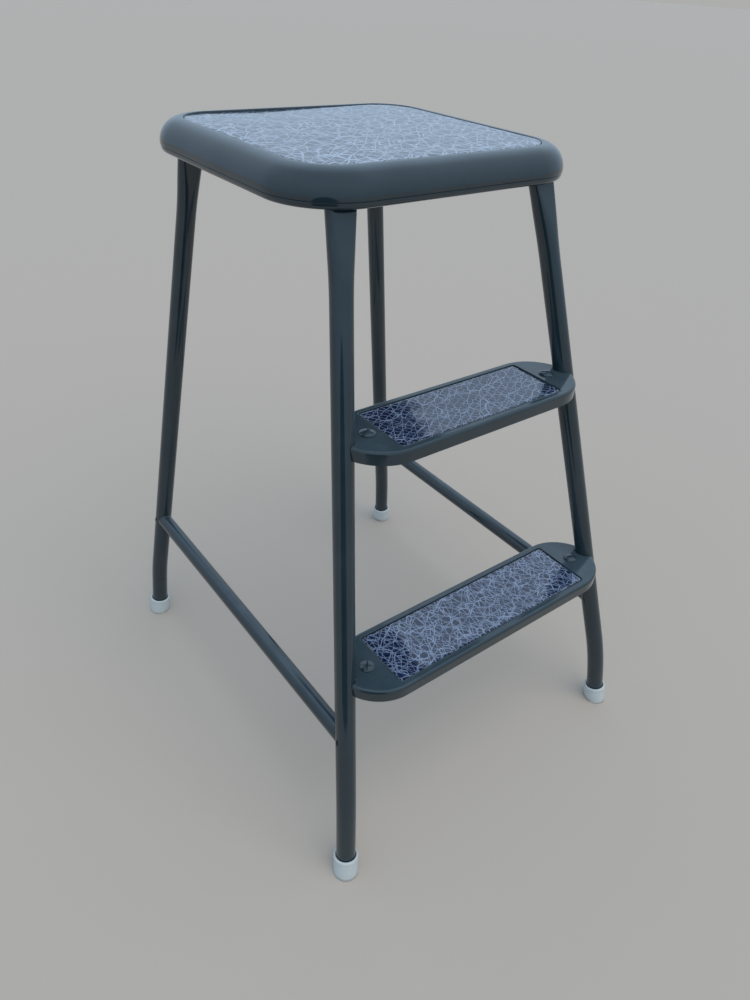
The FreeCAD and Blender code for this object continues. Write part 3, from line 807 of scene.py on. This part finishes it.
@dataclass
class Inset:
    """A thin laminate sheet that lies in its recess, with a dark groove round it."""

    node: str
    middle: Place
    half_x: float
    half_y: float
    corner: float
    thick: float
    lift: float
    groove: float = 0.0008
    edge: float = 0.0003
    edge_angles: tuple[float, ...] = (0.0, 30.0, 60.0, 90.0)
    chamfer: float = 0.00002
    sag: float = 0.0
    sag_at: Spot = (0.0, 0.0)
    sag_wide: Spot = (0.06, 0.05)
    dish: float = 0.0
    bead: float = 0.0007
    bead_sunk: float = 0.0003
    rings: int = 22

    def sheet(self) -> Piece:
        """The sheet: its outline scaled towards the middle, with a rounded top edge.

        The top stands lift above its packed height, rises by dish x (y / half the depth)^2 and
        drops by sag x exp(-(dx^2 + dy^2)), with dx and dy counted in the sag's widths from its
        place. The lower points move in proportion to their height.

        Returns:
            The sheet.
        """
        ring, ways = rounded_ring(self.half_x - self.groove, self.half_y - self.groove,
                                  self.corner - self.groove, 16, 30)
        top = self.thick + self.lift
        underside = np.array([0.0, 0.5])[:, None, None] * ring[None]
        rows = [at_height(underside, 0.0), at_height(ring[None], self.chamfer)]
        for angle in np.radians(self.edge_angles):
            drawn = ring - ways * self.edge * (1 - math.cos(angle))
            rows.append(at_height(drawn[None], top - self.edge * (1 - math.sin(angle))))
        shares = np.linspace(1.0, 0.0, self.rings)[1:, None, None]
        rows.append(at_height((ring - ways * self.edge) * shares, top))
        points = np.concatenate(rows)
        dx = (points[..., 0] - self.sag_at[0]) / self.sag_wide[0]
        dy = (points[..., 1] - self.sag_at[1]) / self.sag_wide[1]
        rise = self.dish * (points[..., 1] / self.half_y) ** 2
        drop = self.sag * np.exp(-dx * dx - dy * dy)
        points[..., 2] += (rise - drop) * points[..., 2] / top
        return skin(f"{self.node}_sheet", points + np.array(self.middle))

    def crest(self, top: float) -> Piece:
        """A fine pressed bead round the recess: a small circle carried along the outline.

        Args:
            top: Height of the plate round the recess.

        Returns:
            The bead.
        """
        ring, ways = rounded_ring(self.half_x, self.half_y, self.corner, 12, 24)
        section = arc((self.bead, -self.bead_sunk), self.bead, 0.0, 360.0, 17)[:-1]
        rings = swept(ring, ways, section) + np.array([self.middle[0], self.middle[1], top])
        return skin(f"{self.node}_crest", rings, closed=True)

    def build(self, material: Material) -> None:
        """Makes the sheet."""
        ride(self.sheet(), material, "inset", self.node)


# Legs


@dataclass
class Leg:
    """One leg tube along its bent axis, with its flattened top, and the ferrule on its foot.

    The axis leans by a share of its slope under the knee, and bend is the knee's radius.
    """

    end: End
    side: Side
    foot_x: float = 0.1903
    foot_y: float = 0.221
    top_x: float = 0.1048
    top_front: float = -0.0596
    top_rear: float = 0.1817
    top_z: float = 0.591
    knee: float = 0.072
    bend: float = 0.480
    share: float = 0.6
    radius: float = 0.0095
    start: float = 0.004
    knee_span: tuple[float, int] = (0.13, 44)
    shaft_span: tuple[float, float, int] = (0.14, 0.70, 60)
    flat_length: float = 0.085
    flat_half_width: float = 0.01375
    flat_half_depth: float = 0.0045
    flat_rings: int = 57
    turning: float = 0.6
    widening: float = 1.6
    free_depth: float = 1.4
    facet: float = 6.0
    scoop: float = 0.0030
    scoop_start: float = 0.88
    scoop_width: float = 0.8
    columns: int = 96

    def __post_init__(self) -> None:
        """Works out the foot, the heading and the two slopes."""
        top_y = self.top_front if self.end is End.FRONT else self.top_rear
        self.foot = np.array([self.side.sign * self.foot_x, self.end.sign * self.foot_y, 0.0])
        self.top = np.array([self.side.sign * self.top_x, top_y, self.top_z])
        rise = self.top_z - self.knee * (1.0 - self.share)
        self.lean = (self.top - self.foot)[:2] / rise
        slope = float(np.hypot(*self.lean))
        self.heading = self.lean / slope
        self.beside = np.array([-self.heading[1], self.heading[0], 0.0])
        self.low, self.high = math.atan(self.share * slope), math.atan(slope)

    @property
    def name(self) -> str:
        """The leg's end and side."""
        return f"{self.end.value}_{self.side.value}"

    def axis(self, height: Array) -> Array:
        """Points of the straight part's axis at heights above the knee: top - lean x drop."""
        drop = (self.top_z - height)[:, None]
        return np.concatenate([self.top[:2] - self.lean * drop, height[:, None]], axis=1)

    def towards(self, slope: Array | float) -> Array:
        """The direction across the axis that points the leg's way: (cos s x heading, -sin s)."""
        forward = np.cos(slope)
        return np.stack([forward * self.heading[0], forward * self.heading[1], -np.sin(slope)],
                        axis=-1)

    def along(self, length: Array) -> tuple[Array, Array]:
        """Points and slope angles of the axis at lengths from the floor.

        The axis is a straight run at the low angle, an arc from the low to the high angle, and
        a straight run at the high angle.

        Args:
            length: Distances along the axis.

        Returns:
            Points, one row each, and the axis's angle from upright.
        """
        turn = self.high - self.low
        first = self.knee / math.cos(self.low) - self.bend * math.tan(turn / 2)
        slope = self.low + np.clip((length - first) / self.bend, 0.0, turn)
        run = np.minimum(length, first)
        rest = np.maximum(length - first - self.bend * turn, 0.0)
        out = (run * math.sin(self.low) + self.bend * (math.cos(self.low) - np.cos(slope))
               + rest * math.sin(self.high))
        up = (run * math.cos(self.low) + self.bend * (np.sin(slope) - math.sin(self.low))
              + rest * math.cos(self.high))
        points = np.stack([self.foot[0] + out * self.heading[0],
                           self.foot[1] + out * self.heading[1], up], axis=1)
        return points, slope

    def round_part(self, angle: Array) -> tuple[Array, Array]:
        """Rings of the round tube: axis + radius (cos a x towards + sin a x beside).

        Args:
            angle: Angles of a ring's points from +X.

        Returns:
            Each ring's centre, and the rings, from the foot to the neck.
        """
        centres, slopes = self.along(np.concatenate([
            np.linspace(self.start, *self.knee_span), np.linspace(*self.shaft_span)]))
        neck = self.top_z - self.flat_length
        below = centres[:, 2] < neck - 0.001
        centres = np.concatenate([centres[below], self.axis(np.array([neck]))])
        slopes = np.append(slopes[below], self.high)
        turn = (angle - math.atan2(self.heading[1], self.heading[0]))[None, :, None]
        ways = np.cos(turn) * self.towards(slopes)[:, None] + np.sin(turn) * self.beside
        return centres, centres[:, None] + self.radius * ways

    def flat_part(self, angle: Array, centre: Array, ring: Array) -> Array:
        """Rings of the top, which the last round ring blends into.

        Sideways the ring grows to the half width. Forwards its part y is held under a falling
        limit d by d tanh((y / d)^6)^(1/6), which leaves a flat facet on the front and the rear.
        Close under the seat the outer facet is pressed in by the scoop, deepest in its middle.

        Args:
            angle: Angles of a ring's points from +X.
            centre: Centre of the last round ring.
            ring: The last round ring.

        Returns:
            The rings, up to the leg's top.
        """
        share = np.linspace(0.0, 1.0, self.flat_rings)[1:, None]
        part = np.clip(share / self.turning, 0.0, 1.0)
        blend = part ** 2 * (3 - 2 * part)
        offset = ring - centre
        half_x = self.radius + (self.flat_half_width - self.radius) * share ** self.widening
        free = self.free_depth * self.radius
        limit = free + (self.flat_half_depth - free) * share
        across = (1 - blend) * offset[:, 0] + blend * half_x * np.cos(angle)
        deep = (1 - blend) * offset[:, 1] + blend * self.radius * np.sin(angle)
        held = np.tanh((np.abs(deep) / limit) ** self.facet) ** (1 / self.facet)
        deep = limit * held * np.sign(deep)
        rising = np.clip((share - self.scoop_start) / (1 - self.scoop_start), 0.0, 1.0) ** 2
        inner = np.clip(1 - (across / half_x / self.scoop_width) ** 2, 0.0, 1.0)
        outward = self.end.sign
        deep -= outward * self.scoop * rising * inner * (deep * outward > 0.0)
        middle = centre + share * (self.top - centre)
        return np.stack([middle[:, :1] + across, middle[:, 1:2] + deep,
                         middle[:, 2:] + offset[:, 2] * (1 - share)], axis=2)

    def tube(self) -> Piece:
        """The tube: round up to its neck and pressed flat and wide above it.

        Returns:
            The tube, closed at both ends.
        """
        angle = around(self.columns)
        centres, rings = self.round_part(angle)
        flat = self.flat_part(angle, centres[-1], rings[-1])
        return skin(f"leg_tube_{self.name}", np.concatenate([
            cap(centres[0], self.columns), rings, flat, cap(self.top, self.columns)]))

    def build(self, finishes: Finishes) -> None:
        """Makes the tube and its ferrule."""
        ride(self.tube(), finishes.enamel, "enamel", f"leg_{self.name}")
        Ferrule(self).build(finishes)


@dataclass
class Ferrule:
    """The cup on a leg's foot. Its section's points are (radius, height along the foot's axis)."""

    leg: Leg
    sole: tuple[Spot, ...] = ((0.0, -0.006), (0.006, -0.006), (0.0100, -0.006))
    heel_at: Spot = (0.0107, -0.0045)
    heel: float = 0.0015
    wall: tuple[Spot, ...] = ((0.01222, 0.001), (0.01222, 0.006), (0.0122, 0.012),
                              (0.01215, 0.0165), (0.01212, 0.0178), (0.01228, 0.0184),
                              (0.01232, 0.0195), (0.01228, 0.0206))
    lip_at: Spot = (0.0110, 0.0208)
    lip: float = 0.0012
    bore: tuple[Spot, ...] = ((0.00975, 0.0195), (0.00972, 0.0180), (0.0098, 0.0042),
                              (0.0, 0.0042))
    ease: float = 0.0009
    columns: int = 64

    def cup(self) -> Piece:
        """The section turned about the foot's axis, with its sole pressed flat on the floor.

        A height z under the floor is eased to it by (z + sqrt(z^2 + ease^2)) / 2, which leaves a
        round lower edge.

        Returns:
            The cup.
        """
        leg = self.leg
        section = np.concatenate([
            self.sole, arc(self.heel_at, self.heel, -80.0, -5.0, 5), self.wall,
            arc(self.lip_at, self.lip, 5.0, 178.0, 11), self.bore])
        angle = around(self.columns)[:, None]
        upright = np.append(math.sin(leg.low) * leg.heading, math.cos(leg.low))
        across = np.cos(angle) * leg.towards(leg.low) + np.sin(angle) * leg.beside
        rings = (leg.foot + section[:, 1, None, None] * upright
                 + section[:, 0, None, None] * across)
        rings[..., 2] = (rings[..., 2] + np.sqrt(rings[..., 2] ** 2 + self.ease ** 2)) / 2
        return skin(f"foot_cup_{leg.name}", rings)

    def build(self, finishes: Finishes) -> None:
        """Makes the cup."""
        ride(self.cup(), finishes.rubber, "ferrule", f"ferrule_{self.leg.name}")


# Stretchers


@dataclass
class Stretcher:
    """The level tube between a front and a rear leg, with a weld round each end.

    The tube starts a bite under the leg's surface. The weld's toe is the share of its rings that
    keeps the full swell, and its beads are ripples round it.
    """

    front: Leg
    rear: Leg
    height: float = 0.152
    radius: float = 0.00825
    bite: float = 0.0012
    weld: float = 0.0024
    weld_reach: float = 1.5
    weld_margin: float = 0.0006
    toe: float = 0.12
    beads: int = 9
    bead_swell: float = 0.10
    weld_rings: int = 9
    middle_rings: int = 10
    columns: int = 72

    def reach(self, leg: Leg, spots: Array, way: float) -> Array:
        """Where level lines along Y meet the cylinder a bite under a leg's surface.

        A line's point p + t y lies at the cylinder's radius from the axis, which is a quadratic
        in t once the parts along the axis are taken out.

        Args:
            leg: The leg.
            spots: Points of the lines, one row each.
            way: -1 for the leg's front surface and 1 for its rear surface.

        Returns:
            Y of each meeting point.
        """
        radius = leg.radius - self.bite
        lean = np.append(leg.lean, 1.0)
        lean /= np.linalg.norm(lean)
        along = np.array([0.0, 1.0, 0.0])
        from_axis = spots - leg.axis(np.array([self.height]))
        p = from_axis - (from_axis @ lean)[:, None] * lean
        d = along - (along @ lean) * lean
        b, c = p @ d, (p * p).sum(axis=1) - radius * radius
        root = np.sqrt(np.maximum(b * b - (d @ d) * c, 0.0))
        return spots[:, 1] + (-b + way * root) / (d @ d)

    def end_rings(self, leg: Leg, way: float) -> Array:
        """Rings of one end, from inside the leg out over the weld.

        The weld is a concave quarter round: radius + weld (1 - sqrt(1 - (1 - s)^2)) at a share s
        of the weld's length past its toe, times 1 + bead swell x sin(beads x a).

        Args:
            leg: The leg that the end meets.
            way: 1 where the tube leaves the leg towards the rear and -1 towards the front.

        Returns:
            The rings.
        """
        angle = around(self.columns)
        circle = np.stack([np.cos(angle), np.zeros_like(angle), np.sin(angle)], axis=1)
        middle = leg.axis(np.array([self.height]))[0]
        ripple = 1 + self.bead_swell * np.sin(self.beads * angle)
        rings = []
        for share in np.linspace(0.0, 1.0, self.weld_rings):
            part = np.clip((share - self.toe) / (1 - self.toe), 0.0, 1.0)
            grow = self.weld * (1 - np.sqrt(1 - (1 - part) ** 2)) * ripple
            spots = middle + circle * (self.radius + grow)[:, None]
            out = (self.weld + self.weld_margin) * share * self.weld_reach
            spots[:, 1] = self.reach(leg, spots, way) + way * out
            rings.append(spots)
        return np.stack(rings)

    def tube(self) -> Piece:
        """The tube: its ends are shaped to the legs and the rings between them blend evenly.

        Returns:
            The tube with its welds, closed at both ends.
        """
        first = self.end_rings(self.front, 1.0)
        last = self.end_rings(self.rear, -1.0)[::-1]
        share = np.linspace(0.0, 1.0, self.middle_rings + 2)[1:-1, None, None]
        rings = np.concatenate([first, first[-1] + share * (last[0] - first[-1]), last])
        start, end = (cap(rings[index].mean(axis=0), self.columns) for index in (0, -1))
        return skin(f"stretcher_tube_{self.front.side.value}",
                    np.concatenate([start, rings, end]))

    def build(self, finishes: Finishes) -> None:
        """Makes the tube and dresses the bolt and the plug.

        Args:
            finishes: The stool's materials.
        """
        side = self.front.side.value
        ride(self.tube(), finishes.enamel, "enamel", f"side_stretcher_{side}")
        dress(f"stretcher_bolt_{side}", finishes.enamel)
        dress(f"stretcher_plug_{side}", finishes.zinc)


# Steps


@dataclass
class Step:
    """One pressed step with its inset, lugs, screws and nuts."""

    level: Level
    leg: Leg
    height: float
    recess_from_leg: float
    recess: float = 0.0025
    half_depth: float = 0.0312
    corner: float = 0.003
    thick: float = 0.0015
    lift: float = 0.0001
    dish: float = 0.0006

    def build(self, finishes: Finishes) -> None:
        """Dresses the step's solids, lays its inset and adds the bead.

        Args:
            finishes: The stool's materials.
        """
        name = f"{self.level.value}_step"
        axis = self.leg.axis(np.array([self.height]))[0]
        dress(name, finishes.enamel)
        upper = self.level is Level.UPPER
        inset = Inset(f"{name}_inset", (0.0, axis[1], self.height - self.recess),
                      axis[0] - self.recess_from_leg, self.half_depth, self.corner,
                      thick=self.thick, lift=self.lift, dish=self.dish)
        inset.build(finishes.upper_inset if upper else finishes.lower_inset)
        ride(inset.crest(self.height), finishes.enamel, "enamel")
        for side in Side:
            dress(f"{name}_lug_{side.value}", finishes.enamel)
            dress(f"{name}_screw_{side.value}", finishes.enamel)
            dress(f"{name}_nut_{side.value}", finishes.zinc)


# Studio


@dataclass
class Studio:
    """Camera, pale floor, dark screen and soft light. Angles are in degrees."""

    eye: Place = (-0.426407, -0.517635, 0.722179)
    heading: float = -39.1504
    dip: float = 35.6044
    tilt: float = 3.8916
    lens: float = 26.492
    sensor: float = 36.0
    nearest: float = 0.01
    farthest: float = 200.0
    matt: float = 0.9
    floor_half: float = 60.0
    floor_colour: Colour = (0.460, 0.415, 0.365)
    screen_half: float = 0.26
    screen_shoulder: float = 0.34
    screen_rise: float = 0.30
    screen_behind: float = 0.12
    screen_colour: Colour = (0.01, 0.012, 0.015)
    sky_level: Colour = (0.40, 0.52, 0.65)
    sky_high: Colour = (0.62, 0.76, 0.93)
    sky_high_at: float = 0.7
    backdrop: Colour = (0.42, 0.425, 0.415)
    sun_energy: float = 1.2
    sun_width: float = 60.0
    sun_turn: Place = (28.0, -14.0, 30.0)
    sun_colour: Colour = (1.0, 0.88, 0.72)

    def camera(self) -> None:
        """Sets the camera at the photograph's place and angle."""
        heading, dip, tilt = (math.radians(a) for a in (self.heading, self.dip, self.tilt))
        ahead = Vector((-math.sin(heading) * math.cos(dip), math.cos(heading) * math.cos(dip),
                        -math.sin(dip)))
        right = ahead.cross(Vector((0, 0, 1))).normalized()
        up = right.cross(ahead)
        across = right * math.cos(tilt) + up * math.sin(tilt)
        top = up * math.cos(tilt) - right * math.sin(tilt)
        data = bpy.data.cameras.new("camera")
        data.lens, data.sensor_width = self.lens, self.sensor
        data.clip_start, data.clip_end = self.nearest, self.farthest
        camera = bpy.data.objects.new("camera", data)
        camera.matrix_world = (Matrix.Translation(self.eye)
                               @ Matrix((across, top, -ahead)).transposed().to_4x4())
        bpy.context.scene.collection.objects.link(camera)
        bpy.context.scene.camera = camera

    def floor(self) -> None:
        """Lays a wide pale floor."""
        material = Shader("pale_floor").surface({
            "Base Color": self.floor_colour, "Roughness": self.matt})
        half = self.floor_half
        floor = panel("floor", [(-half, -half, 0.0), (half, -half, 0.0), (half, half, 0.0),
                                (-half, half, 0.0)], material)

    def screen(self) -> None:
        """A dark screen behind the camera that only the gloss shows, as a dark stripe.

        Its outline goes up both sides and over a round top: (half cos a, shoulder + rise sin a).
        """
        under_eye = Vector((*self.eye[:2], 0.0))
        back = under_eye.normalized()
        foot = under_eye + back * self.screen_behind
        angles = np.linspace(0.0, math.pi, 25)
        outline = [(self.screen_half, 0.0),
                   *zip(self.screen_half * np.cos(angles),
                        self.screen_shoulder + self.screen_rise * np.sin(angles)),
                   (-self.screen_half, 0.0)]
        material = Shader("dark_cloth").surface({
            "Base Color": self.screen_colour, "Roughness": self.matt})
        screen = panel("dark_screen", [(foot.x - back.y * out, foot.y + back.x * out, up)
                                       for out, up in outline], material)
        screen.visible_camera = screen.visible_diffuse = screen.visible_shadow = False

    def sky(self) -> None:
        """An even pale sky, brighter overhead, with a plain backdrop where the camera sees it."""
        world = bpy.data.worlds.new("sky")
        bpy.context.scene.world = world
        world.use_nodes = True
        nodes = Nodes(world.node_tree)
        way = nodes.add("ShaderNodeTexCoord").outputs["Generated"]
        ramp = nodes.add("ShaderNodeValToRGB", {
            "stops": ((0.0, self.sky_level), (self.sky_high_at, self.sky_high))},
            {0: nodes.upward(way)})
        light = nodes.add("ShaderNodeBackground", None, {"Color": ramp.outputs["Color"]})
        seen = nodes.add("ShaderNodeBackground", None, {"Color": self.backdrop})
        mix = nodes.add("ShaderNodeMixShader", None, {
            0: nodes.add("ShaderNodeLightPath").outputs["Is Camera Ray"],
            1: light.outputs["Background"], 2: seen.outputs["Background"]})
        nodes.add("ShaderNodeOutputWorld", None, {"Surface": mix.outputs["Shader"]})

    def sun(self) -> None:
        """One broad soft sun, which the gloss doesn't show."""
        data = bpy.data.lights.new("soft_sun", "SUN")
        data.energy, data.color = self.sun_energy, self.sun_colour
        data.angle = math.radians(self.sun_width)
        lamp = bpy.data.objects.new("soft_sun", data)
        lamp.rotation_euler = [math.radians(turn) for turn in self.sun_turn]
        lamp.visible_glossy = False
        bpy.context.scene.collection.objects.link(lamp)

    def build(self) -> None:
        """Sets up the whole studio."""
        self.camera()
        self.floor()
        self.screen()
        self.sky()
        self.sun()
        bpy.context.scene.view_settings.view_transform = "Standard"


def main() -> None:
    """Builds the sub-assemblies in order."""
    logging.basicConfig(level=logging.INFO, format="%(name)s %(message)s")
    finishes = Finishes.make()
    Seat().build(finishes)
    legs = {(end, side): Leg(end, side) for end in End for side in Side}
    for leg in legs.values():
        leg.build(finishes)
    for side in Side:
        Stretcher(legs[End.FRONT, side], legs[End.REAR, side]).build(finishes)
    guide = legs[End.FRONT, Side.RIGHT]
    Step(Level.UPPER, guide, height=0.417, recess_from_leg=0.037).build(finishes)
    Step(Level.LOWER, guide, height=0.2125, recess_from_leg=0.0393).build(finishes)
    Studio().build()


if __name__ == "__main__":
    main()
